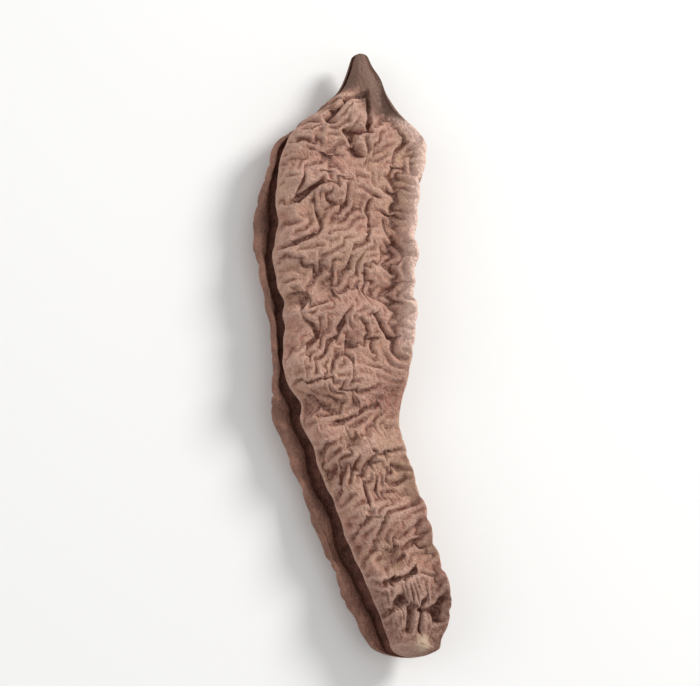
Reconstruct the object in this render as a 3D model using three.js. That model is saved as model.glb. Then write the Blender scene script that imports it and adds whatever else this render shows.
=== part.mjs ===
// A dried shikakai pod (the wrinkled fruit of a climbing acacia), built as one solid.
// The pod lies on its lower valve. +Y runs along the pod to its beak, +X to the closed suture, +Z up.
// The open suture is on the -X side: a deep slot between the lip of the upper valve and the lip of
// the lower valve, which stands further out. All sizes are in millimetres.
import * as THREE from 'three';
import { mergeVertices } from 'three/addons/utils/BufferGeometryUtils.js';

// Driving dimensions
const LENGTH = 80;          // beak tip to stalk end
const TIP_ROUND = 0.8;      // rounding of the beak tip along Y
const END_ROUND = 1.6;      // rounding of the blunt stalk end along Y
const STATIONS = 76;        // cross-sections along the pod
const SECTION_POINTS = 38;  // points round each cross-section, two for each landmark
const FULL_WIDTH = 15;      // sections narrower than this carry smaller lips and rims
const SEED_COUNT = 8;
const FIRST_SEED = 29;      // Y of the seed nearest the beak
const SEED_PITCH = 8.6;     // from one seed to the next
const SEED_SWELL = 0.45;    // how far the valves swell over a seed
const SEED_SPREAD = 3.2;    // half length of a seed's swelling

// Outlines seen from above, as [y, x]
const CLOSED_SUTURE = [
  [40, 2],      // beak tip
  [33, 6],      // neck
  [26, 10.5],   // shoulder
  [20, 9.5],
  [0, 8.5],     // belly
  [-11, 7],     // waist
  [-22, 10],
  [-34, 13],    // foot
  [-40, 11.5],
];
const LOWER_LIP = [
  [40, 1],      // beak tip
  [35, -1],     // neck
  [24, -11],    // shoulder
  [12, -13],    // widest place
  [4, -11],
  [-10, -10],   // waist
  [-19, -6],
  [-31, -1],
  [-40, 4],     // stalk end
];
// How far the upper lip is set back from the lower one, as [y, step]
const LIP_STEP = [
  [40, 0.2], [32, 0.2], [22, 1], [14, 2], [6, 1], [-5, 1], [-10, 3], [-24, 2.5], [-32, 3], [-40, 1.5],
];

// Heights above the surface that the pod lies on, as [y, z]
const UPPER_FACE = [[40, 4.5], [32, 6.7], [24, 8.3], [0, 8.3], [-12, 7.7], [-32, 8], [-40, 7]];
const LOWER_FACE = [[40, 2.5], [31, 1], [18, -0.3], [-6, 0.8], [-28, -0.3], [-40, 1.5]];

// Depth of the furrow beside the rim, and of the slot between the lips, as [y, depth]
const FURROW = [[40, 0], [26, 0.2], [18, 1], [4, 1], [-4, 0.1], [-40, 0.1]];
const SLOT_DEPTH = [[40, 0.1], [30, 1], [16, 2.6], [-30, 2.6], [-40, 1]];

// Smooth curve through [key, value] pairs with falling keys, level at each turning point
function along(curve, y) {
  const last = curve.length - 1;
  if (y >= curve[0][0]) return curve[0][1];
  if (y <= curve[last][0]) return curve[last][1];
  const slope = (i) => (curve[i + 1][1] - curve[i][1]) / (curve[i + 1][0] - curve[i][0]);
  const tangent = (i) => {
    if (i === 0) return slope(0);
    if (i === last) return slope(last - 1);
    const before = slope(i - 1);
    const after = slope(i);
    return before * after <= 0 ? 0 : (2 * before * after) / (before + after);
  };
  const i = curve.findIndex((point, n) => n < last && y <= point[0] && y > curve[n + 1][0]);
  const span = curve[i + 1][0] - curve[i][0];
  const t = (y - curve[i][0]) / span;
  const start = curve[i][1] * (1 + 2 * t) * (1 - t) ** 2 + tangent(i) * span * t * (1 - t) ** 2;
  const end = curve[i + 1][1] * t * t * (3 - 2 * t) - tangent(i + 1) * span * t * t * (1 - t);
  return start + end;
}

function seedSwell(y) {
  const seeds = Array.from({ length: SEED_COUNT }, (_, n) => FIRST_SEED - n * SEED_PITCH);
  return seeds.reduce((sum, seed) => sum + Math.exp(-(((y - seed) / SEED_SPREAD) ** 2)), 0) * SEED_SWELL;
}

// Closed section curve at y, from the bottom of the slot over the top to the lower lip
function sectionCurve(y) {
  const right = along(CLOSED_SUTURE, y);
  const lowerLip = along(LOWER_LIP, y);
  const upperLip = lowerLip + along(LIP_STEP, y);
  const small = Math.min(1, (right - lowerLip) / FULL_WIDTH);
  const top = along(UPPER_FACE, y) + seedSwell(y) * small;
  const bottom = along(LOWER_FACE, y) - seedSwell(y) * small * 0.5;
  const thick = top - bottom;
  const upperLipZ = bottom + 0.62 * thick;
  const lowerLipZ = bottom + 0.28 * thick;
  const sutureZ = bottom + 0.5 * thick;
  const middle = (upperLip + right) / 2;
  const furrow = along(FURROW, y);
  const depth = along(SLOT_DEPTH, y);
  const landmarks = [
    [upperLip + depth, (upperLipZ + lowerLipZ) / 2],               // bottom of the slot
    [upperLip + 0.9 * small, upperLipZ - 0.11 * thick],            // underside of the upper lip
    [upperLip, upperLipZ],                                         // edge of the upper lip
    [upperLip + 0.5 * small, upperLipZ + 0.13 * thick],
    [upperLip + 1.8 * small, upperLipZ + 0.25 * thick],            // crest of the upper lip
    [upperLip + 4.2 * small, top - 0.05 * thick],
    [middle, top],
    [right - 5.4 * small, top - 0.04 * thick],
    [right - 3.4 * small, top - 0.09 * thick - furrow],            // furrow beside the rim
    [right - 1.7 * small, top - 0.07 * thick],                     // crest of the rim
    [right - 0.5 * small, sutureZ + 0.24 * thick],
    [right, sutureZ],                                              // edge of the closed suture
    [right - 0.8 * small, sutureZ - 0.27 * thick],
    [right - 3.4 * small, bottom + 0.06 * thick],
    [right - 6.4 * small, bottom],
    [lowerLip + 5.2 * small, bottom],
    [lowerLip + 2.0 * small, bottom + 0.09 * thick],
    [lowerLip, lowerLipZ],                                         // edge of the lower lip
    [lowerLip + 1.0 * small, lowerLipZ + 0.12 * thick],
  ];
  const points = landmarks.map(([x, z]) => new THREE.Vector3(x, y, z));
  return new THREE.CatmullRomCurve3(points, true, 'centripetal');
}

// Where station s, from 0 at the beak to 1 at the stalk end, lies, and how far its section is closed in
function station(s) {
  const run = LENGTH - TIP_ROUND - END_ROUND;
  const quarterTip = (Math.PI / 2) * TIP_ROUND;
  const quarterEnd = (Math.PI / 2) * END_ROUND;
  const path = s * (quarterTip + run + quarterEnd);
  const half = LENGTH / 2;
  if (path < quarterTip) {
    const turn = path / TIP_ROUND;
    return { y: half - TIP_ROUND * (1 - Math.cos(turn)), open: Math.sin(turn) };
  }
  if (path > quarterTip + run) {
    const turn = (path - quarterTip - run) / END_ROUND;
    return { y: -half + END_ROUND * (1 - Math.sin(turn)), open: Math.cos(turn) };
  }
  return { y: half - TIP_ROUND - (path - quarterTip), open: 1 };
}

function podGeometry() {
  const geometry = new THREE.SphereGeometry(1, SECTION_POINTS, STATIONS);
  geometry.deleteAttribute('normal');
  geometry.deleteAttribute('uv');
  const position = geometry.attributes.position;
  const stride = SECTION_POINTS + 1;
  for (let row = 0; row <= STATIONS; row += 1) {
    const { y, open } = station(row / STATIONS);
    const curve = sectionCurve(y);
    const ring = Array.from({ length: SECTION_POINTS }, (_, n) => curve.getPoint(n / SECTION_POINTS));
    const sum = ring.reduce((total, point) => total.add(point), new THREE.Vector3());
    const centre = sum.divideScalar(SECTION_POINTS);
    for (let column = 0; column < stride; column += 1) {
      const point = ring[column % SECTION_POINTS].clone().lerp(centre, row % STATIONS === 0 ? 1 : 1 - open);
      position.setXYZ(row * stride + column, point.x, y, Math.max(0, point.z));
    }
  }
  return mergeVertices(geometry, 1e-5);
}

const husk = new THREE.MeshStandardMaterial({ color: 0x9e7869, roughness: 0.85, metalness: 0 });
const pod = new THREE.Mesh(podGeometry(), husk);
pod.name = 'pod';

const group = new THREE.Group();
group.add(pod);
const box = new THREE.Box3().setFromObject(group);
const centre = box.getCenter(new THREE.Vector3());
pod.position.set(-centre.x, -centre.y, -box.min.z);

export default group;
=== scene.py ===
# %% [markdown]
# # A dried shikakai pod
# A shikakai pod is the flat fruit of a climbing acacia. It dries on the vine, and because the
# flesh shrinks more than the skin does, the skin buckles into hundreds of small folds.
# This lesson starts from a fixed solid, one plain closed pod at its true size, and puts a
# finished husk in its place. Blender's lengths are metres, and the lesson thinks in
# millimetres, so one named value turns one into the other.

# %% The frame and its box
import math

import bmesh
import bpy
import numpy as np
from mathutils import Matrix, Vector, noise


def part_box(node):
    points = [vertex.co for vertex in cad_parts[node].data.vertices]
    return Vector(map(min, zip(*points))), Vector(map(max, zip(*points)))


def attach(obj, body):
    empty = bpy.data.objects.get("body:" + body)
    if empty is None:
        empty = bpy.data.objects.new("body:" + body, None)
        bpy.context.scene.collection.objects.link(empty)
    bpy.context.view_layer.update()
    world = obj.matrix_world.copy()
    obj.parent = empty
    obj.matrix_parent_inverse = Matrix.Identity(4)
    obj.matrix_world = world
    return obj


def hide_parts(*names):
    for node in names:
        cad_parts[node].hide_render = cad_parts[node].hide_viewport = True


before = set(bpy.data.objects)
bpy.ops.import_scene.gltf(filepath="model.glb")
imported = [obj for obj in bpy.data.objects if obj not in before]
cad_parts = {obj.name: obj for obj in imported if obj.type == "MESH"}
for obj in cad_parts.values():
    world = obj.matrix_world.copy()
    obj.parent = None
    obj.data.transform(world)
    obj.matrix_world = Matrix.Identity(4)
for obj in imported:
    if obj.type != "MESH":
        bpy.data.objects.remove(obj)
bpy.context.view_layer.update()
pod_low, pod_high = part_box("pod")
MM = 0.001
LENGTH = (pod_high.y - pod_low.y) / MM
print("plain pod, mm:", [round(side / MM, 2) for side in pod_high - pod_low])

# %% [markdown]
# ## Floor
# The pod lies on a plain pale sheet. It is a little less than white, so that the pod's
# soft shadow still reads on it.

# %% Floor
FLOOR_SIZE = 3.0
FLOOR_COLOUR = (0.88, 0.88, 0.87, 1)
FLOOR_ROUGHNESS = 0.9
FLOOR_SPECULAR = 0.1


def make_floor():
    mesh = bpy.data.meshes.new("floor")
    shape = bmesh.new()
    bmesh.ops.create_grid(shape, x_segments=1, y_segments=1, size=FLOOR_SIZE)
    shape.to_mesh(mesh)
    shape.free()
    floor = bpy.data.objects.new("floor", mesh)
    bpy.context.scene.collection.objects.link(floor)
    material = bpy.data.materials.new("pale_floor")
    material.use_nodes = True
    shader = material.node_tree.nodes["Principled BSDF"]
    shader.inputs["Base Color"].default_value = FLOOR_COLOUR
    shader.inputs["Roughness"].default_value = FLOOR_ROUGHNESS
    shader.inputs["Specular IOR Level"].default_value = FLOOR_SPECULAR
    mesh.materials.append(material)
    return floor


print("made", make_floor().name)

# %% [markdown]
# ## Camera
# The pod is looked down on, with its beak at the top of the picture. The camera leans a
# little to the left and to the front, so the open suture along the left edge shows both
# of its lips. A long lens from far away keeps the outline free of perspective.

# %% Camera
LEFT_LEAN = math.radians(24)
FRONT_LEAN = math.radians(15)
FRAME_SHARE = 0.88
LENS = 120
SENSOR = 36
PICTURE_RATIO = 686 / 700
NEAR_CLIP = 0.01


def make_camera():
    target = (pod_low + pod_high) / 2
    back = Vector((-math.tan(LEFT_LEAN), -math.tan(FRONT_LEAN), 1)).normalized()
    up = (Vector((0, 1, 0)) - back * back.y).normalized()
    right = up.cross(back)
    tall = (pod_high.y - pod_low.y) * up.y
    distance = tall / FRAME_SHARE * LENS / (SENSOR * PICTURE_RATIO)
    data = bpy.data.cameras.new("camera")
    data.lens = LENS
    data.sensor_width = SENSOR
    data.clip_start = NEAR_CLIP
    camera = bpy.data.objects.new("camera", data)
    bpy.context.scene.collection.objects.link(camera)
    turn = Matrix((right, up, back)).transposed().to_4x4()
    camera.matrix_world = Matrix.Translation(target + back * distance) @ turn
    bpy.context.scene.camera = camera
    return distance


print("camera distance, m:", round(make_camera(), 3))

# %% [markdown]
# ## Light
# Folds show only where light grazes them. The key light is a soft disk at the upper right,
# fairly low, a weak fill lifts the lower left, and a bright plain world stands in for the
# white walls of a studio. The Standard view keeps colours as the materials state them.

# %% Lights
KEY_PLACE = (0.36, 0.28, 0.31)
KEY_SIZE = 0.20
KEY_POWER = 2.6
KEY_COLOUR = (1.0, 0.985, 0.965)
FILL_PLACE = (-0.45, -0.05, 0.32)
FILL_SIZE = 0.40
FILL_POWER = 0.6
FILL_COLOUR = (0.97, 0.98, 1.0)
WORLD_STRENGTH = 0.55


def make_light(name, place, size, power, colour):
    data = bpy.data.lights.new(name, "AREA")
    data.shape = "DISK"
    data.size = size
    data.energy = power
    data.color = colour
    light = bpy.data.objects.new(name, data)
    bpy.context.scene.collection.objects.link(light)
    light.location = place
    light.rotation_euler = (-Vector(place)).to_track_quat("-Z", "Y").to_euler()
    return light


make_light("key_light", KEY_PLACE, KEY_SIZE, KEY_POWER, KEY_COLOUR)
make_light("fill_light", FILL_PLACE, FILL_SIZE, FILL_POWER, FILL_COLOUR)

world = bpy.data.worlds.new("studio")
world.use_nodes = True
background = world.node_tree.nodes["Background"]
background.inputs["Color"].default_value = (1, 1, 1, 1)
background.inputs["Strength"].default_value = WORLD_STRENGTH
bpy.context.scene.world = world
bpy.context.scene.view_settings.view_transform = "Standard"
print("lights:", len(bpy.data.lights))

# %% [markdown]
# ## Measuring the plain pod
# The husk has to keep the plain solid's size, so its outlines are measured from that solid
# and not stated again. The solid is made of rings of vertices across the pod. Each ring
# gives the closed suture on the right, the lower and the upper lip of the open suture on
# the left, and the heights of the two faces. A smooth curve then runs through the rings.

# %% Outlines of the plain pod
RING_GAP = 0.02
TIP_ROUND = 0.8
END_ROUND = 1.6


def along(line, y):
    """A smooth curve through rising (place, value) pairs, level at each turning point."""
    keys, values = line
    slopes = np.diff(values) / np.diff(keys)
    before, after = slopes[:-1], slopes[1:]
    same_way = before * after > 0
    mean = np.where(same_way, 2 * before * after / np.where(same_way, before + after, 1), 0)
    tangents = np.concatenate([slopes[:1], mean, slopes[-1:]])
    y = np.clip(y, keys[0], keys[-1])
    i = np.clip(np.searchsorted(keys, y, side="right") - 1, 0, len(slopes) - 1)
    span = np.diff(keys)[i]
    t = (y - keys[i]) / span
    rise = tangents[i] * t * (1 - t) ** 2 - tangents[i + 1] * t * t * (1 - t)
    return values[i] * (1 + 2 * t) * (1 - t) ** 2 + values[i + 1] * t * t * (3 - 2 * t) + rise * span


def run_on(y, values):
    """An outline carried on straight, from its last whole ring to the pod's very ends."""
    low, high = pod_low.y / MM, pod_high.y / MM
    first = values[0] + (low - y[0]) * (values[1] - values[0]) / (y[1] - y[0])
    last = values[-1] + (high - y[-1]) * (values[-1] - values[-2]) / (y[-1] - y[-2])
    return np.concatenate([[low], y, [high]]), np.concatenate([[first], values, [last]])


def measured_outlines():
    """Each outline of the plain pod as (places along the pod, values), in millimetres."""
    points = np.array([vertex.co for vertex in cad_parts["pod"].data.vertices]) / MM
    points = points[np.argsort(points[:, 1])]
    ring_starts = np.flatnonzero(np.diff(points[:, 1]) > RING_GAP) + 1
    rows = []
    for ring in np.split(points, ring_starts):
        y, top, bottom = ring[0, 1], ring[:, 2].max(), ring[:, 2].min()
        if pod_low.y / MM + END_ROUND < y < pod_high.y / MM - TIP_ROUND:
            upper = ring[ring[:, 2] > (top + bottom) / 2]
            rows.append((y, ring[:, 0].max(), ring[:, 0].min(), upper[:, 0].min(), top, bottom))
    y, *outlines = np.array(rows).T
    return [run_on(y, outline) for outline in outlines]


CLOSED_SUTURE, LOWER_LIP, UPPER_LIP, UPPER_FACE, LOWER_FACE = measured_outlines()
print("rings measured:", len(UPPER_FACE[0]))

# %% [markdown]
# ## Saying where things are
# A place on the pod is given as two shares: how far along it is, from the stalk end at 0 to
# the beak at 1, and how far across, from the open suture at 0 to the closed one at 1. So a
# mark stays on the same part of the pod whatever the pod's size. Values that change along
# the pod, such as the slot's depth, are lists of (share along, value).

# %% Places as shares
def y_at(share):
    return pod_low.y / MM + share * LENGTH


def on_pod(down, across):
    """The plan place of a pair of shares, in millimetres."""
    y = y_at(down)
    left, right = along(UPPER_LIP, y), along(CLOSED_SUTURE, y)
    return float(left + across * (right - left)), y


def profile(*pairs):
    shares, values = np.array(pairs, float).T
    return y_at(shares), values


FURROW = profile((0, 0), (0.4, 0), (0.5, 0.4), (0.6, 1.0), (0.75, 0.9), (0.84, 0.2), (0.9, 0), (1, 0))
RIM_DROP = profile((0, 0), (0.25, 0), (0.38, 1.6), (0.5, 0), (1, 0))
SLOT_DEPTH = profile((0, 0.8), (0.08, 2.2), (0.4, 3), (0.7, 2.6), (0.9, 0.6), (1, 0.1))
print("middle of the pod, mm:", [round(value, 1) for value in on_pod(0.5, 0.5)])

# %% [markdown]
# ## The section
# Cut across, the pod is a flat purse: an upper and a lower skin that meet in the rim on the
# right, and on the left two lips with a slot between them that runs in under the upper one.
# The landmarks below go once round that section, from the bottom of the slot over the top
# and back. Heights are shares of the local thickness. The lips waver a little, as a torn
# edge does.

# %% Section landmarks
FULL_WIDTH = 15
FULL_FACE = 20
UPPER_EDGE_MARK = 2
LOWER_EDGE_MARK = 19


def waver(y, seed, size):
    """Slow wandering of an edge, about -1 to 1."""
    return np.array([noise.noise(Vector((seed, place / size, seed * 0.37))) for place in y]) * 2


def section_landmarks(y):
    torn = y < y_at(0.9)
    right = along(CLOSED_SUTURE, y) + 0.18 * waver(y, 3.1, 2.6)
    upper_lip = along(UPPER_LIP, y) + 0.28 * waver(y, 11.7, 2.2) * torn
    lower_lip = along(LOWER_LIP, y) + 0.28 * waver(y, 5.3, 2.8) * torn
    lower_lip = np.minimum(lower_lip, upper_lip - 0.05)
    low = np.minimum(1, (right - lower_lip) / FULL_WIDTH)
    high = np.minimum(1, (right - upper_lip) / FULL_FACE)
    top, bottom = along(UPPER_FACE, y), along(LOWER_FACE, y)
    thick = top - bottom
    upper_z = bottom + (0.62 + 0.03 * waver(y, 8.9, 4.0)) * thick
    lower_z = bottom + (0.28 + 0.02 * waver(y, 6.1, 5.0)) * thick
    suture_z = bottom + 0.5 * thick
    furrow = along(FURROW, y) * (1 + 0.4 * waver(y, 4.1, 3.0))
    furrow_in = 4.6 + 0.5 * waver(y, 2.3, 3.5)
    drop, depth = along(RIM_DROP, y), along(SLOT_DEPTH, y)
    marks = [
        (upper_lip + depth, bottom + 0.42 * thick),
        (upper_lip + 0.9 * low, upper_z - 0.11 * thick),
        (upper_lip, upper_z),
        (upper_lip + 0.5 * low, upper_z + 0.13 * thick),
        (upper_lip + 1.8 * high, upper_z + 0.25 * thick),
        (upper_lip + 4.2 * high, top - 0.05 * thick),
        ((upper_lip + right) / 2, top),
        (right - (furrow_in + 2.2) * high, top - 0.04 * thick - furrow * 0.3),
        (right - furrow_in * high, top - 0.06 * thick - furrow),
        (right - 3.0 * high, top - 0.03 * thick - furrow * 0.4 - drop * 0.4),
        (right - 1.6 * high, top - drop * 0.8),
        (right - 0.8 * high, suture_z + 0.24 * thick - drop * 0.4),
        (right, suture_z),
        (right - 1.1 * low, suture_z - 0.25 * thick),
        (right - 3.4 * low, bottom + 0.06 * thick),
        (right - 6.4 * low, bottom),
        (lower_lip + 5.2 * low, bottom),
        (lower_lip + 2.0 * low, bottom + 0.09 * thick),
        (lower_lip, lower_z),
        (lower_lip + 0.35 * low, lower_z + 0.11 * thick),
        (np.maximum(upper_lip - 0.55 * low, lower_lip + 0.7 * low), lower_z + 0.07 * thick),
        (np.maximum(upper_lip + 0.2 * low, lower_lip + 1.2 * low), bottom + 0.24 * thick),
    ]
    return np.stack([np.stack([x, z], -1) for x, z in marks], 1)


print("landmarks round a section:", section_landmarks(np.array([0.0])).shape[1])

# %% [markdown]
# ## A smooth pod
# Each ring is a closed curve through its landmarks. Points are then spread along it evenly,
# many round the outside and a few in the slot, because even spacing lets the skin buckle
# with no direction of its own. Both ends close to a point over a short rounded cap.

# %% Rings
STATIONS = 376
OUTSIDE_COLUMNS = 240
SLOT_COLUMNS = 24
COLUMNS = OUTSIDE_COLUMNS + SLOT_COLUMNS
CURVE_STEPS = 14
TINY = 1e-6


def closed_curve(marks):
    """A smooth closed curve through each ring's landmarks, with even care for close ones."""
    p0, p1, p2, p3 = [np.roll(marks, -step, 1) for step in (-1, 0, 1, 2)]
    pairs = ((p0, p1), (p1, p2), (p2, p3))
    d0, d1, d2 = [np.linalg.norm(b - a, axis=-1, keepdims=True) ** 0.5 + TINY for a, b in pairs]
    leave = d1 * ((p1 - p0) / d0 - (p2 - p0) / (d0 + d1) + (p2 - p1) / d1)
    arrive = d1 * ((p2 - p1) / d1 - (p3 - p1) / (d1 + d2) + (p3 - p2) / d2)
    t = (np.arange(CURVE_STEPS) / CURVE_STEPS)[None, None, :, None]
    p1, p2, leave, arrive = (a[:, :, None] for a in (p1, p2, leave, arrive))
    curve = (2 * t**3 - 3 * t**2 + 1) * p1 + (t**3 - 2 * t**2 + t) * leave
    curve = curve + (3 * t**2 - 2 * t**3) * p2 + (t**3 - t**2) * arrive
    return curve.reshape(len(marks), -1, 2)


def spread_evenly(curve):
    """Even points along each ring, outside first and then the slot."""
    curve = np.roll(curve, -UPPER_EDGE_MARK * CURVE_STEPS, 1)
    closed = np.concatenate([curve, curve[:, :1]], 1)
    turn_in = (LOWER_EDGE_MARK - UPPER_EDGE_MARK) * CURVE_STEPS
    out = np.empty((len(curve), COLUMNS, 2))
    for ring, points in enumerate(closed):
        path = np.concatenate([[0], np.cumsum(np.linalg.norm(np.diff(points, axis=0), axis=-1))])
        outside = np.linspace(0, path[turn_in], OUTSIDE_COLUMNS, endpoint=False)
        inside = np.linspace(path[turn_in], path[-1], SLOT_COLUMNS, endpoint=False)
        at = np.concatenate([outside, inside])
        out[ring, :, 0] = np.interp(at, path, points[:, 0])
        out[ring, :, 1] = np.interp(at, path, points[:, 1])
    return out


def ring_places():
    """Where each ring lies along the pod, and how far it is open."""
    tip_arc, end_arc = math.pi / 2 * TIP_ROUND, math.pi / 2 * END_ROUND
    run = LENGTH - TIP_ROUND - END_ROUND
    path = np.linspace(0, tip_arc + run + end_arc, STATIONS + 1)
    tip_turn = np.clip(path / TIP_ROUND, 0, math.pi / 2)
    end_turn = np.clip((path - tip_arc - run) / END_ROUND, 0, math.pi / 2)
    fallen = TIP_ROUND * (1 - np.cos(tip_turn)) + np.clip(path - tip_arc, 0, run)
    y = y_at(1) - fallen - END_ROUND * np.sin(end_turn)
    return y, np.sin(tip_turn) * np.cos(end_turn)


def smooth_pod():
    y, opened = ring_places()
    rings = spread_evenly(closed_curve(section_landmarks(y)))
    centre = rings.mean(1, keepdims=True)
    rings = centre + (rings - centre) * opened[:, None, None]
    return np.stack([rings[..., 0], np.repeat(y[:, None], COLUMNS, 1), rings[..., 1]], -1)


smooth = smooth_pod()
print("rings and columns:", smooth.shape[:2])

# %% [markdown]
# ## Neighbours and normals
# The whole skin is one sheet of points, rings down and columns round, so every neighbour is
# one row or one column away. These helpers give the next column, the outward direction,
# and a blurred copy, which later tells a valley from a ridge.

# %% Sheet helpers
def east(sheet):
    return np.concatenate([sheet[:, 1:], sheet[:, :1]], 1)


def west(sheet):
    return np.concatenate([sheet[:, -1:], sheet[:, :-1]], 1)


def outward(sheet):
    down = np.gradient(sheet, axis=0)
    normal = np.cross(down, east(sheet) - west(sheet))
    return normal / np.maximum(np.linalg.norm(normal, axis=-1, keepdims=True), TINY)


def blurred(sheet, times, pinned=True):
    """A softened copy. Its first and last ring stay as they are, or follow their neighbours."""
    for _ in range(times):
        sheet = (sheet * 2 + east(sheet) + west(sheet)) / 4
        inner = (sheet[1:-1] * 2 + sheet[2:] + sheet[:-2]) / 4
        first, last = (sheet[:1], sheet[-1:]) if pinned else (inner[:1], inner[-1:])
        sheet = np.concatenate([first, inner, last])
    return sheet


def smooth_step(low, high, value):
    t = np.clip((value - low) / (high - low), 0, 1)
    return t * t * (3 - 2 * t)


print("thickest place, mm:", round(float(np.ptp(smooth[..., 2])), 2))

# %% [markdown]
# ## Soft noise
# Noise from mathutils is worked out point by point in Python, which is slow, so it is taken
# on every other point only and stretched over the rest.

# %% Soft noise
def stretched(sheet, shape):
    """A coarse sheet stretched to a finer one."""
    rows = np.linspace(0, sheet.shape[0] - 1, shape[0])
    above = np.minimum(rows.astype(int), sheet.shape[0] - 2)
    down = (rows - above).reshape(-1, *[1] * (sheet.ndim - 1))
    sheet = sheet[above] * (1 - down) + sheet[above + 1] * down
    columns = np.arange(shape[1]) * sheet.shape[1] / shape[1]
    left = columns.astype(int)
    over = (columns - left).reshape(1, -1, *[1] * (sheet.ndim - 2))
    return sheet[:, left] * (1 - over) + sheet[:, (left + 1) % sheet.shape[1]] * over


def mottle(sheet, size, seed, octaves=2):
    """Soft noise over the skin, about -1 to 1."""
    coarse = sheet[::2, ::2]
    shift = Vector((seed * 7.3, seed * 3.1, seed * 5.7))
    points = coarse.reshape(-1, 3) / size
    values = [noise.fractal(Vector(p) + shift, 0.8, 2.0, octaves) for p in points]
    return stretched(np.array(values).reshape(coarse.shape[:2]), sheet.shape[:2])


print("noise reaches:", round(float(np.abs(mottle(smooth, 5.0, 2)).max()), 2))

# %% [markdown]
# ## Sculpted landmarks
# Some marks are a pod's own: a curled lobe beside the beak, pits and creases between the
# seeds, and a smooth hollow near the stalk end. A sculptor would press them in with a
# round tool or a blade. Here a dab lifts or sinks the skin round one place, and a cut sinks
# it along a line, and both only act on the upper side. The skin also dips between the seeds,
# wherever the plain solid stands lower than its own average.

# %% Dabs and cuts
DABS = [
    # share along, share across, radius, lift
    (0.88, 0.30, 2.2, 1.3), (0.90, 0.80, 2.6, -0.8), (0.81, 0.45, 0.8, -0.8), (0.83, 0.40, 0.6, -0.7),
    (0.58, 0.30, 1.7, -0.5), (0.49, 0.45, 0.7, -0.6), (0.45, 0.05, 1.2, 0.5), (0.41, 0.85, 2.8, -0.5),
    (0.33, 0.35, 1.5, -0.6), (0.30, 0.50, 0.8, -0.6), (0.15, 0.35, 1.7, -0.9), (0.08, 0.25, 0.7, -0.8),
    (0.07, 0.70, 0.8, -0.7), (0.02, 0.55, 0.9, 0.5),
]
CUTS = [
    # depth, width, pairs of shares
    (1.0, 0.4, [(0.86, 0.15), (0.90, 0.20), (0.92, 0.45)]),
    (0.8, 0.4, [(0.91, 0.50), (0.85, 0.50), (0.84, 0.35)]),
    (0.5, 0.35, [(0.72, 0.12), (0.75, 0.25)]),
    (0.4, 0.35, [(0.64, 0.05), (0.66, 0.2)]),
    (0.4, 0.35, [(0.51, 0.35), (0.54, 0.42)]),
    (0.6, 0.4, [(0.54, 0.65), (0.51, 0.75)]),
    (0.4, 0.35, [(0.37, 0.42), (0.36, 0.28)]),
    (0.8, 0.4, [(0.11, 0.15), (0.12, 0.40), (0.13, 0.55)]),
    (0.7, 0.4, [(0.09, 0.80), (0.06, 0.75)]),
    (0.6, 0.4, [(0.07, 0.35), (0.04, 0.30)]),
    (0.7, 0.4, [(0.08, 0.55), (0.04, 0.50)]),
]
SEED_DIP = 0.9
SEED_HALF_WIDTH = 6.0
SEED_PITCH = 8.6


def plan_distance(sheet, points):
    """Distance on plan from each point of the skin to a broken line."""
    best = np.full(sheet.shape[:2], np.inf)
    for start, end in zip(points, points[1:]):
        run = np.subtract(end, start)
        away = sheet[..., :2] - start
        t = np.clip(away @ run / (run @ run), 0, 1)
        best = np.minimum(best, np.linalg.norm(away - t[..., None] * run, axis=-1))
    return best


def plan_reach(sheet, down, across):
    """Distance on plan from each point of the skin to one place."""
    x, y = on_pod(down, across)
    return np.hypot(sheet[..., 0] - x, sheet[..., 1] - y)


def seed_dips(sheet):
    """0 over each seed and 1 between two, fading out at the ends and the edges."""
    y, top = UPPER_FACE
    window = np.abs(y[:, None] - y[None, :]) < SEED_PITCH / 2
    bulge = top - (window * top).sum(1) / window.sum(1)
    seeded = bulge[(y > y_at(0.1)) & (y < y_at(0.86))]
    dip = np.clip((seeded.max() - bulge) / np.ptp(seeded), 0, 1)
    dip *= smooth_step(y_at(0.05), y_at(0.12), y) * (1 - smooth_step(y_at(0.84), y_at(0.90), y))
    wandered = sheet[..., 1] + 1.3 * mottle(sheet, 6.0, 12)
    middle = (along(UPPER_LIP, sheet[..., 1]) + along(CLOSED_SUTURE, sheet[..., 1]) - 4) / 2
    across = (sheet[..., 0] - middle) / SEED_HALF_WIDTH
    return np.interp(wandered, y, dip) * np.exp(-(across**4))


def sculpted(sheet):
    normal = outward(sheet)
    upper = np.clip(normal[..., 2] * 2, 0, 1)
    lift = -SEED_DIP * seed_dips(sheet)
    for down, across, radius, height in DABS:
        lift += height * np.exp(-((plan_reach(sheet, down, across) / radius) ** 2))
    for depth, width, shares in CUTS:
        line = [on_pod(*pair) for pair in shares]
        lift -= depth * np.exp(-((plan_distance(sheet, line) / width) ** 2))
    return sheet + normal * (lift * upper)[..., None]


carved = sculpted(smooth)
print("deepest cut, mm:", round(float(np.abs(carved - smooth).max()), 2))

# %% [markdown]
# ## Where the skin has too much of itself
# How far the skin outgrew the flesh differs from place to place. It is crumpled over the
# seeds, nearly plain on the beak and in smooth hollows, and tight along the rim. Each patch
# below sets how strongly a place folds and which way its folds run, in degrees from the
# pod's width. Noise fills in the rest, as a net of strong folds round calmer plateaus.

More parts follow.
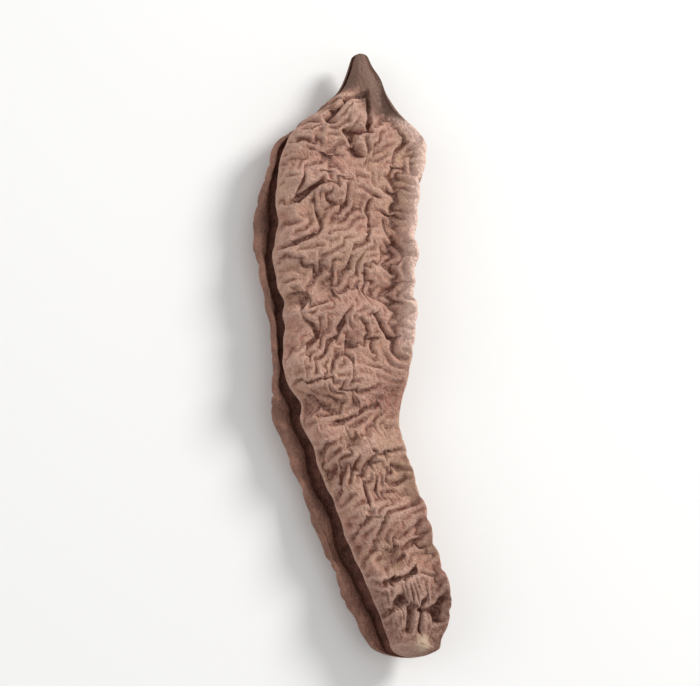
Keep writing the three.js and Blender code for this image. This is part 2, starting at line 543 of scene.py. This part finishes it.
# %% Growth and direction of the folds
FOLD_PATCHES = [
    # share along, share across, radius, strength, direction
    (0.88, 0.35, 2.4, 1.5, 35), (0.82, 0.45, 3.2, 1.3, 70), (0.74, 0.15, 3.0, 1.5, 52),
    (0.65, 0.10, 2.6, 1.4, 12), (0.62, 0.35, 2.4, 1.2, 45), (0.65, 0.80, 2.6, 1.2, -60),
    (0.55, 0.75, 2.4, 1.4, -50), (0.46, 0.30, 3.2, 1.8, 65), (0.36, 0.40, 3.0, 1.2, 25),
    (0.28, 0.25, 3.0, 1.5, 60), (0.22, 0.60, 3.0, 1.3, 20), (0.08, 0.55, 4.0, 1.7, 75),
]
CALM_PATCHES = [
    # share along, share across, radius, share that stays
    (0.92, 0.80, 4.2, 0.2), (0.78, 0.60, 2.2, 0.5), (0.58, 0.30, 1.6, 0.5), (0.58, 0.62, 2.4, 0.6),
    (0.41, 0.85, 3.4, 0.25), (0.33, 0.35, 1.4, 0.5), (0.15, 0.35, 2.2, 0.1),
]
PLAIN_STRENGTH = 0.5
NET_STRENGTH = 1.1
NET_SIZE = 4.0
NET_WIDTH = 0.14
LEAN_LIMIT = 0.6
STRENGTH_RANGE = (0.1, 1.7)


def crease_net(sheet, width):
    """A net of bands round plateaus a few millimetres across."""
    return np.exp(-((mottle(sheet, NET_SIZE, 6, 1) / width) ** 2))


def tight_places(sheet, column):
    """How free the skin is to fold: less in the slot, at the lips and at both ends."""
    last = OUTSIDE_COLUMNS
    free = smooth_step(0, 5, column) * (1 - smooth_step(last - 6, last - 1, column))
    free *= 1 - 0.5 * (1 - smooth_step(4, 14, column)) - 0.6 * smooth_step(last - 26, last - 12, column)
    free *= smooth_step(y_at(0.01), y_at(0.05), sheet[..., 1])
    return free * (1 - 0.9 * smooth_step(y_at(0.88), y_at(0.94), sheet[..., 1]))


def fold_plan(sheet, column):
    """How much the skin outgrows the flesh, and the lean of its folds as a double angle."""
    upper = outward(sheet)[..., 2] > 0
    strength = PLAIN_STRENGTH + NET_STRENGTH * crease_net(sheet, NET_WIDTH) + 0.5 * mottle(sheet, 5.0, 2)
    lean_x, lean_y = 1.2 * mottle(sheet, 8.0, 4), 1.2 * mottle(sheet, 8.0, 9)
    for down, across, radius, amount, direction in FOLD_PATCHES:
        weight = np.exp(-((plan_reach(sheet, down, across) / radius) ** 2)) * upper
        angle = math.radians(direction + 90) * 2
        strength += (amount - strength) * weight
        lean_x += (0.8 * math.cos(angle) - lean_x) * weight
        lean_y += (-0.8 * math.sin(angle) - lean_y) * weight
    for down, across, radius, share in CALM_PATCHES:
        strength *= 1 - (1 - share) * np.exp(-((plan_reach(sheet, down, across) / radius) ** 2)) * upper
    rim = smooth_step(-2.8, -1.2, sheet[..., 0] - along(CLOSED_SUTURE, sheet[..., 1]))
    strength = np.clip(strength, *STRENGTH_RANGE) * tight_places(sheet, column) * (1 - 0.8 * rim)
    tame = (1 - rim) / np.maximum(1, np.hypot(lean_x, lean_y) / LEAN_LIMIT)
    return strength, lean_x * tame - 0.8 * rim, lean_y * tame


column = np.arange(COLUMNS)[None, :] * np.ones(carved.shape[:2])
fold_strength, fold_lean_x, fold_lean_y = fold_plan(carved, column)
print("fold strength, mean:", round(float(fold_strength.mean()), 2))

# %% [markdown]
# ## Buckling
# A modeller could draw wrinkles one by one or displace the skin with noise, but neither
# looks like a dried fruit, because real wrinkles come from a skin that is too large for its
# bed. So the lesson lets that happen. Every point is tied to its neighbours by springs that
# want to be longer than they are, a bending force keeps the sheet smooth, and a soft bed
# holds it to the pod: stiff outwards, softer inwards, which gives broad ridges with narrow
# valleys. The sheet then settles a little at a time.

# %% Springs
def grown_length(step, across, down, growth, lean_x, lean_y):
    """Rest length of one kind of spring after the skin has grown."""
    wide = (1 + growth * (1 + lean_x)) * across + growth * lean_y * down
    tall = growth * lean_y * across + (1 + growth * (1 - lean_x)) * down
    stretch = np.hypot(wide, tall) / np.maximum(np.hypot(across, down), TINY)
    return np.linalg.norm(step, axis=-1) * stretch


def rest_lengths(sheet, growth, lean_x, lean_y):
    """Rest lengths round the ring, down the pod, and along both diagonals."""
    ahead, below = east(sheet), sheet[1:]
    wide = np.linalg.norm(ahead - sheet, axis=-1)
    tall = np.linalg.norm(below - sheet[:-1], axis=-1)
    inner = (growth[1:], lean_x[1:], lean_y[1:])
    return (
        grown_length(ahead - sheet, wide, 0 * wide, growth, lean_x, lean_y),
        grown_length(below - sheet[:-1], 0 * tall, tall, *inner),
        grown_length(ahead[1:] - sheet[:-1], wide[1:], tall, *inner),
        grown_length(below - ahead[:-1], -wide[1:], tall, *inner),
    )


def pull(step, rest, strength):
    length = np.maximum(np.sqrt(np.einsum("ijk,ijk->ij", step, step)), TINY)
    return step * (strength * (1 - rest / length))[..., None]


def spread_out(sheet):
    """Sum over neighbours of the difference from each point."""
    out = east(sheet) + west(sheet) - 2 * sheet
    out[1:-1] += sheet[2:] + sheet[:-2] - 2 * sheet[1:-1]
    return out


print("springs at rest:", [lengths.shape for lengths in rest_lengths(smooth, *[fold_strength * 0] * 3)])

# %% [markdown]
# ## Letting the sheet settle
# Each step adds up the springs, the bending and the bed, moves every point a little that
# way and slows it down. A small random shove at the start, from a fixed seed, tells the
# folds where to begin.

# %% The buckling sheet
SIDE_PULL = 1.0
DIAGONAL_PULL = 0.5
SLIDE_SHARE = 0.2
PACE = 0.5
DRAG = 0.92


def spring_force(place, rests):
    rest_wide, rest_tall, rest_fall, rest_climb = rests
    ahead = east(place)
    step = pull(ahead - place, rest_wide, SIDE_PULL)
    force = step - west(step)
    step = pull(place[1:] - place[:-1], rest_tall, SIDE_PULL)
    force[:-1] += step
    force[1:] -= step
    step = pull(ahead[1:] - place[:-1], rest_fall, DIAGONAL_PULL)
    force[:-1] += step
    force[1:] -= west(step)
    step = pull(place[1:] - ahead[:-1], rest_climb, DIAGONAL_PULL)
    force[:-1] += west(step)
    force[1:] -= step
    return force


def buckled(base, growth, leans, seed, steps, bend, bed, rise, sink, start):
    """The sheet after it has grown: bend and bed are stiffnesses, rise and sink soft limits."""
    normal = outward(base)
    shove = np.random.default_rng(seed).normal(0, start, base.shape[:2])
    shove[0] = shove[-1] = 0
    place = base + normal * shove[..., None]
    speed = np.zeros_like(base)
    rests = rest_lengths(base, growth, *leans)
    for _ in range(steps):
        moved = place - base
        height = np.einsum("ijk,ijk->ij", moved, normal)
        limit = np.where(height > 0, rise, sink)
        force = spring_force(place, rests) - bend * spread_out(spread_out(moved))
        force -= normal * (bed * height * (1 + (height / limit) ** 2))[..., None]
        force -= moved * (SLIDE_SHARE * bed)
        speed = (speed + force * PACE) * DRAG
        speed[0] = speed[-1] = 0
        place = place + speed * PACE
    return place


print("spring pulls:", SIDE_PULL, DIAGONAL_PULL)

# %% [markdown]
# ## Coarse folds, then fine ones
# Two rounds are run. The first, on a sheet with every other point left out, makes folds
# about 5 mm apart. The second takes that as its bed and makes the crumpled wrinkles, about
# 1.5 mm apart. The distance between folds follows from how the bending force compares with
# the bed. The net of strong folds is pressed in a little before the second round, and the
# broad swelling that growth also causes is taken off after it.

# %% Two rounds
COARSE_GROWTH = 0.055
FINE_GROWTH = 0.135
NET_PRESS = 0.15
PRESS_WIDTH = 0.09
SWELL_STEP = 4
SWELL_BLUR = 60

half = carved[::2, ::2]
lumps = np.clip(0.8 + 1.2 * mottle(carved, 7.0, 3), 0.1, 1.6) * np.minimum(fold_strength * 2, 1)
coarse = buckled(
    half, COARSE_GROWTH * lumps[::2, ::2], (fold_lean_x[::2, ::2], fold_lean_y[::2, ::2]),
    seed=21, steps=260, bend=0.06, bed=0.005, rise=0.3, sink=0.8, start=0.05,
)
folded = carved + stretched(coarse - half, carved.shape[:2])
net = crease_net(carved, PRESS_WIDTH) * fold_strength
folded -= outward(folded) * (NET_PRESS * blurred(net, 1))[..., None]
print("coarse folds, mm:", round(float(np.linalg.norm(coarse - half, axis=-1).max()), 2))

skin = buckled(
    folded, FINE_GROWTH * fold_strength, (fold_lean_x, fold_lean_y),
    seed=5, steps=300, bend=0.008, bed=0.008, rise=0.10, sink=0.35, start=0.02,
)
plain_normal = outward(carved)
swollen = np.einsum("ijk,ijk->ij", skin - carved, plain_normal)
swollen = blurred(swollen[SWELL_STEP:-SWELL_STEP:SWELL_STEP, ::SWELL_STEP], SWELL_BLUR, pinned=False)
swollen = stretched(swollen, skin.shape[:2]) * (1 - smooth_step(y_at(0.88), y_at(0.94), skin[..., 1]))
skin -= plain_normal * swollen[..., None]
print("fine folds, mm:", round(float(np.linalg.norm(skin - folded, axis=-1).max()), 2))

# %% [markdown]
# ## Lying down, at the right size
# The lowest folds carry the pod, so they are pressed flat on the floor. Then the skin is
# fitted to the plain solid's box, side by side, so that its folds neither add to the pod's
# size nor take any away.

# %% Lying down
CONTACT_SHARE = 0.4


def lying(sheet):
    z = sheet[..., 2] - np.percentile(sheet[..., 2], CONTACT_SHARE)
    return np.concatenate([sheet[..., :2], np.maximum(z, 0)[..., None]], -1)


def fitted(sheet):
    low, high = sheet.min((0, 1)), sheet.max((0, 1))
    box_low, box_high = np.array(pod_low) / MM, np.array(pod_high) / MM
    scale = (box_high - box_low) / (high - low)
    print("fitted by:", scale.round(3))
    return box_low + (sheet - low) * scale


skin = fitted(lying(skin))
print("height, mm:", round(float(skin[..., 2].max()), 2))

# %% [markdown]
# ## The mesh
# A UV sphere has just this layout, rings and columns with a pole at each end, so the
# operator makes the faces and every vertex is moved to its place on the skin.

# %% The husk mesh
def make_husk(sheet):
    shape = bmesh.new()
    bmesh.ops.create_uvsphere(shape, u_segments=COLUMNS, v_segments=STATIONS, radius=1)
    ball = np.array([vertex.co for vertex in shape.verts])
    row = np.rint(np.arccos(np.clip(ball[:, 2], -1, 1)) / math.pi * STATIONS).astype(int)
    turn = np.arctan2(ball[:, 1], -ball[:, 0]) / (2 * math.pi)
    column = np.rint(turn * COLUMNS).astype(int) % COLUMNS
    for vertex, place in zip(shape.verts, sheet[row, column] * MM):
        vertex.co = place
    bmesh.ops.recalc_face_normals(shape, faces=shape.faces)
    for face in shape.faces:
        face.smooth = True
    mesh = bpy.data.meshes.new("dried_husk")
    shape.to_mesh(mesh)
    shape.free()
    husk = bpy.data.objects.new("dried_husk", mesh)
    bpy.context.scene.collection.objects.link(husk)
    return husk, row, column


husk, husk_row, husk_column = make_husk(skin)
print("triangles:", sum(len(face.vertices) - 2 for face in husk.data.polygons))

# %% [markdown]
# ## Masks on the skin
# The folds get painted light and shade: ridges are painted pale as a highlight, with some
# dust, and valleys are painted dark as shade. Height against a blurred copy gives that, once
# for fine folds and once for coarse ones. The other masks mark the slot, the lower lip, the
# beak, a painted highlight along the rim, painted shade in the dips between the seeds, a
# darker stalk end, the stalk scar and the stained hollows.
# Each is stored on the mesh's points, where the material can read it by name.

# %% Masks
OLIVE_SPOTS = [
    # share along, share across, radius, strength
    (0.15, 0.35, 1.9, 1.0), (0.58, 0.30, 1.6, 0.7), (0.84, 0.80, 2.4, 0.6), (0.33, 0.35, 1.5, 0.7),
]


def store(name, sheet):
    layer = husk.data.attributes.new(name, "FLOAT", "POINT")
    values = np.ascontiguousarray(sheet[husk_row, husk_column], dtype=np.float32)
    layer.data.foreach_set("value", values)


def height_over(sheet, times, scale):
    normal = outward(blurred(sheet, 3))
    height = np.einsum("ijk,ijk->ij", sheet - blurred(sheet, times), normal)
    return np.clip(height / scale, -1, 1)


def spot(down, across, radius):
    """A soft-edged round mark on the upper side."""
    mask = 1 - smooth_step(radius * 0.5, radius * 1.2, plan_reach(skin, down, across))
    return mask * (outward(skin)[..., 2] > 0.1)


from_rim = skin[..., 0] - along(CLOSED_SUTURE, skin[..., 1])
skin_y = skin[..., 1]
faces_up = smooth_step(0.2, 0.7, outward(blurred(skin, 20))[..., 2])
beak_side = smooth_step(-0.8, 1.2, skin[..., 0]) * smooth_step(y_at(0.86), y_at(0.90), skin_y)
# Painted highlight along the closed rim, on its upward faces only, over the rim's paler tone.
rim_highlight = np.exp(-(((from_rim + 1.7) / 1.0) ** 2)) * faces_up

store("fine_height", height_over(skin, 6, 0.12))
store("coarse_height", height_over(skin, 60, 0.45) * (1 - smooth_step(-3.6, -2.0, from_rim)))
store("slot", smooth_step(OUTSIDE_COLUMNS, OUTSIDE_COLUMNS + 8, column))
store("lower_lip", smooth_step(OUTSIDE_COLUMNS - 26, OUTSIDE_COLUMNS - 6, column))
store("beak", np.maximum(smooth_step(y_at(0.915), y_at(0.935), skin_y), beak_side))
# Darker towards the stalk end.
store("stalk_end_dark", 1 - smooth_step(y_at(0.09), y_at(0.15), skin_y + 1.5 * mottle(skin, 4.0, 14)))
# Painted highlight along the rim, from the middle of the pod to the beak.
store("rim", rim_highlight * smooth_step(y_at(0.46), y_at(0.52), skin_y))
# Painted shade in the dips between the seeds.
store("between", seed_dips(skin) * (outward(skin)[..., 2] > 0.1))
store("red_patch", spot(0.41, 0.85, 3.2))
store("olive", sum(strength * spot(*place) for *place, strength in OLIVE_SPOTS))
store("scar", spot(0.02, 0.55, 1.2))
print("masks:", [layer.name for layer in husk.data.attributes if layer.data_type == "FLOAT"])

# %% [markdown]
# ## A helper for node graphs
# A material is a graph of nodes, and a few short methods keep its recipe readable: place a
# node, join it to a value or another node, read a mask, make noise of a stated size in
# millimetres, stretch a value, and mix two colours.

# %% Graph helper
class Graph:
    def __init__(self, tree):
        self.tree = tree
        self.coords = self.node("ShaderNodeTexCoord").outputs["Object"]

    def node(self, kind, **settings):
        node = self.tree.nodes.new(kind)
        for name, value in settings.items():
            setattr(node, name, value)
        return node

    def feed(self, socket, value):
        if isinstance(value, bpy.types.NodeSocket):
            self.tree.links.new(value, socket)
        else:
            socket.default_value = value

    def value(self, name):
        return self.node("ShaderNodeAttribute", attribute_name=name).outputs["Fac"]

    def noise(self, size, seed, detail=3.0, rough=0.55):
        node = self.node("ShaderNodeTexNoise", noise_dimensions="4D")
        self.feed(node.inputs["Vector"], self.coords)
        node.inputs["W"].default_value = seed
        node.inputs["Scale"].default_value = 1 / (size * MM)
        node.inputs["Detail"].default_value = detail
        node.inputs["Roughness"].default_value = rough
        return node.outputs["Fac"]

    def ramp(self, value, low, high, out_low=0.0, out_high=1.0):
        node = self.node("ShaderNodeMapRange", clamp=True)
        names = ("Value", "From Min", "From Max", "To Min", "To Max")
        for name, item in zip(names, (value, low, high, out_low, out_high)):
            self.feed(node.inputs[name], item)
        return node.outputs["Result"]

    def math(self, operation, a, b):
        node = self.node("ShaderNodeMath", operation=operation)
        self.feed(node.inputs[0], a)
        self.feed(node.inputs[1], b)
        return node.outputs[0]

    def mix(self, amount, a, b):
        node = self.node("ShaderNodeMix", data_type="RGBA")
        names = ("Factor_Float", "A_Color", "B_Color")
        for name, item in zip(names, (amount, a, b)):
            socket = next(each for each in node.inputs if each.identifier == name)
            self.feed(socket, item)
        return next(each for each in node.outputs if each.identifier == "Result_Color")

    def stain(self, colour, mask, share, stain):
        """Another colour over this one, as far as a stored mask goes."""
        return self.mix(self.math("MULTIPLY", self.value(mask), share), colour, stain)


print("helper ready:", Graph.__name__)

# %% [markdown]
# ## The husk's finish
# A dry husk is matt, and pinkish tan where dust and wear show it. The colour is laid on as a
# painter would: patches first, then stains, then painted shade of dark red-brown in the
# valleys and a painted highlight, with some dust, on the crests, then a painted highlight
# along the rim and the parts with a colour of their own.
# A net of fine cracks with grain in it gives the bump, because a mesh fine enough for it
# would be far too heavy.

# %% Husk colours
TAN = (0.56, 0.335, 0.22, 1)
PINK = (0.53, 0.265, 0.195, 1)
CINNAMON = (0.36, 0.165, 0.115, 1)
BROWN = (0.20, 0.085, 0.06, 1)
CREAM = (0.66, 0.45, 0.35, 1)
OLIVE = (0.24, 0.155, 0.09, 1)
RED_STAIN = (0.24, 0.085, 0.058, 1)
STALK_END_DARK = (0.19, 0.09, 0.066, 1)
# painted shade for the valleys of the folds
VALLEY_SHADE = (0.12, 0.032, 0.018, 1)
# painted highlight, with some dust, for the crests of the folds and the paper ridges
CREST_DUST_AND_HIGHLIGHT = (0.60, 0.38, 0.30, 1)
# the rim's paler tone, brightened into a painted highlight
RIM_HIGHLIGHT = (0.95, 0.68, 0.57, 1)
LOWER_LIP_BROWN = (0.15, 0.066, 0.045, 1)
BEAK_BROWN = (0.15, 0.082, 0.058, 1)
SCAR = (0.62, 0.46, 0.33, 1)
SLOT_DARK = (0.10, 0.038, 0.025, 1)
SLOT_RED = (0.30, 0.12, 0.085, 1)
SPECK = (0.12, 0.052, 0.036, 1)
# share of painted highlight laid on the thin paper ridges
RIDGE_HIGHLIGHT_SHARE = 0.45


def husk_colour(g, speck, ridges):
    colour = g.mix(g.ramp(g.noise(6.0, 1.0), 0.42, 0.58), PINK, TAN)
    colour = g.mix(g.ramp(g.noise(2.2, 2.0, 4), 0.45, 0.66, 0, 0.8), colour, CINNAMON)
    colour = g.mix(g.ramp(g.noise(1.1, 11.0), 0.48, 0.70, 0, 0.65), colour, BROWN)
    colour = g.mix(g.ramp(g.noise(1.6, 14.0), 0.5, 0.72, 0, 0.55), colour, CREAM)
    # Painted shade: the colour darkens in the dips between the seeds.
    colour = g.stain(colour, "between", 0.4, CINNAMON)
    colour = g.stain(colour, "olive", 0.6, OLIVE)
    colour = g.stain(colour, "red_patch", 0.6, RED_STAIN)
    # Darker towards the stalk end.
    colour = g.stain(colour, "stalk_end_dark", 0.75, STALK_END_DARK)
    fine, coarse = g.value("fine_height"), g.value("coarse_height")
    # Painted shade: the colour darkens in the valleys of the fine and coarse folds.
    valley_shade = g.math("ADD", g.ramp(fine, -0.2, -1.0, 0, 0.85), g.ramp(coarse, -0.2, -1.0, 0, 0.5))
    colour = g.mix(g.ramp(valley_shade, 0, 1, 0, 0.9), colour, VALLEY_SHADE)
    # Painted highlight, with some dust: the colour turns pale on the crests of the folds.
    crest_dust_and_highlight = g.math("ADD", g.ramp(fine, 0.15, 0.9, 0, 0.45), g.ramp(coarse, 0.2, 0.9, 0, 0.25))
    colour = g.mix(crest_dust_and_highlight, colour, CREST_DUST_AND_HIGHLIGHT)
    # Painted highlight: the thin paper ridges are also painted pale, as lines of highlight.
    colour = g.mix(g.math("MULTIPLY", ridges, RIDGE_HIGHLIGHT_SHARE), colour, CREST_DUST_AND_HIGHLIGHT)
    # Painted highlight along the rim, over its paler tone.
    colour = g.stain(colour, "rim", 0.9, RIM_HIGHLIGHT)
    lip = g.mix(g.ramp(g.noise(2.4, 19.0), 0.4, 0.62), LOWER_LIP_BROWN, CINNAMON)
    colour = g.stain(colour, "lower_lip", 0.8, lip)
    colour = g.stain(colour, "beak", 0.9, BEAK_BROWN)
    colour = g.stain(colour, "scar", 0.85, SCAR)
    slot = g.mix(g.ramp(g.noise(1.2, 17.0), 0.35, 0.65), SLOT_DARK, SLOT_RED)
    colour = g.stain(colour, "slot", 0.9, slot)
    return g.mix(g.ramp(speck, 0.3, 0.62, 0.4, 0), colour, SPECK)


print("colours:", "tan and pink over", "red-brown valleys")

# %% [markdown]
# ## Cracks and grain
# The cells of a Voronoi pattern, their edges pushed about by noise, look like the net of
# cracks in a dry skin. Thin paper-like ridges run over them, and finer noise is the grain.

# %% Husk material
RIDGE_SIZE = 1.0
RIDGE_WIDTH = 0.07
RIDGE_HEIGHT = 1.1
CRACK_SIZE = 0.75
CRACK_WANDER = 0.9
WARP_SIZE = 1.2
BUMP_STRENGTH = 0.6
BUMP_DEPTH = 0.14
HUSK_SPECULAR = 0.3


def paper_ridges(g):
    """Thin wandering ridges, where soft noise passes its own middle."""
    from_middle = g.math("SUBTRACT", g.noise(RIDGE_SIZE, 21.0, 3, 0.6), 0.5)
    return g.ramp(g.math("ABSOLUTE", from_middle, 0), 0, RIDGE_WIDTH, 1, 0)


def husk_grain(g, ridges):
    warp = g.node("ShaderNodeTexNoise")
    g.feed(warp.inputs["Vector"], g.coords)
    warp.inputs["Scale"].default_value = 1 / (WARP_SIZE * MM)
    shift = g.node("ShaderNodeVectorMath", operation="MULTIPLY_ADD")
    g.feed(shift.inputs[0], warp.outputs["Color"])
    shift.inputs[1].default_value = [CRACK_WANDER * MM] * 3
    g.feed(shift.inputs[2], g.coords)
    cells = g.node("ShaderNodeTexVoronoi", feature="DISTANCE_TO_EDGE")
    g.feed(cells.inputs["Vector"], shift.outputs[0])
    cells.inputs["Scale"].default_value = 1 / (CRACK_SIZE * MM)
    cracks = g.ramp(cells.outputs["Distance"], 0.0, 0.22)
    grain = g.math("ADD", g.math("MULTIPLY", cracks, 0.8), g.math("MULTIPLY", g.noise(0.22, 8.0, 4, 0.6), 0.8))
    return g.math("ADD", grain, g.math("MULTIPLY", ridges, RIDGE_HEIGHT))


def husk_material():
    material = bpy.data.materials.new("dusty_husk")
    material.use_nodes = True
    g = Graph(material.node_tree)
    shader = material.node_tree.nodes["Principled BSDF"]
    speck = g.noise(0.35, 5.0, 3, 0.7)
    ridges = paper_ridges(g)
    g.feed(shader.inputs["Base Color"], husk_colour(g, speck, ridges))
    g.feed(shader.inputs["Roughness"], g.ramp(speck, 0.3, 0.7, 0.62, 0.85))
    shader.inputs["Specular IOR Level"].default_value = HUSK_SPECULAR
    bump = g.node("ShaderNodeBump")
    bump.inputs["Strength"].default_value = BUMP_STRENGTH
    bump.inputs["Distance"].default_value = BUMP_DEPTH * MM
    g.feed(bump.inputs["Height"], husk_grain(g, ridges))
    g.feed(shader.inputs["Normal"], bump.outputs["Normal"])
    return material


husk.data.materials.append(husk_material())
print("material:", husk.data.materials[0].name)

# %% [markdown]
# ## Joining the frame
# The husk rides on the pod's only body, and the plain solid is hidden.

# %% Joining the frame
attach(husk, "root")
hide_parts("pod")
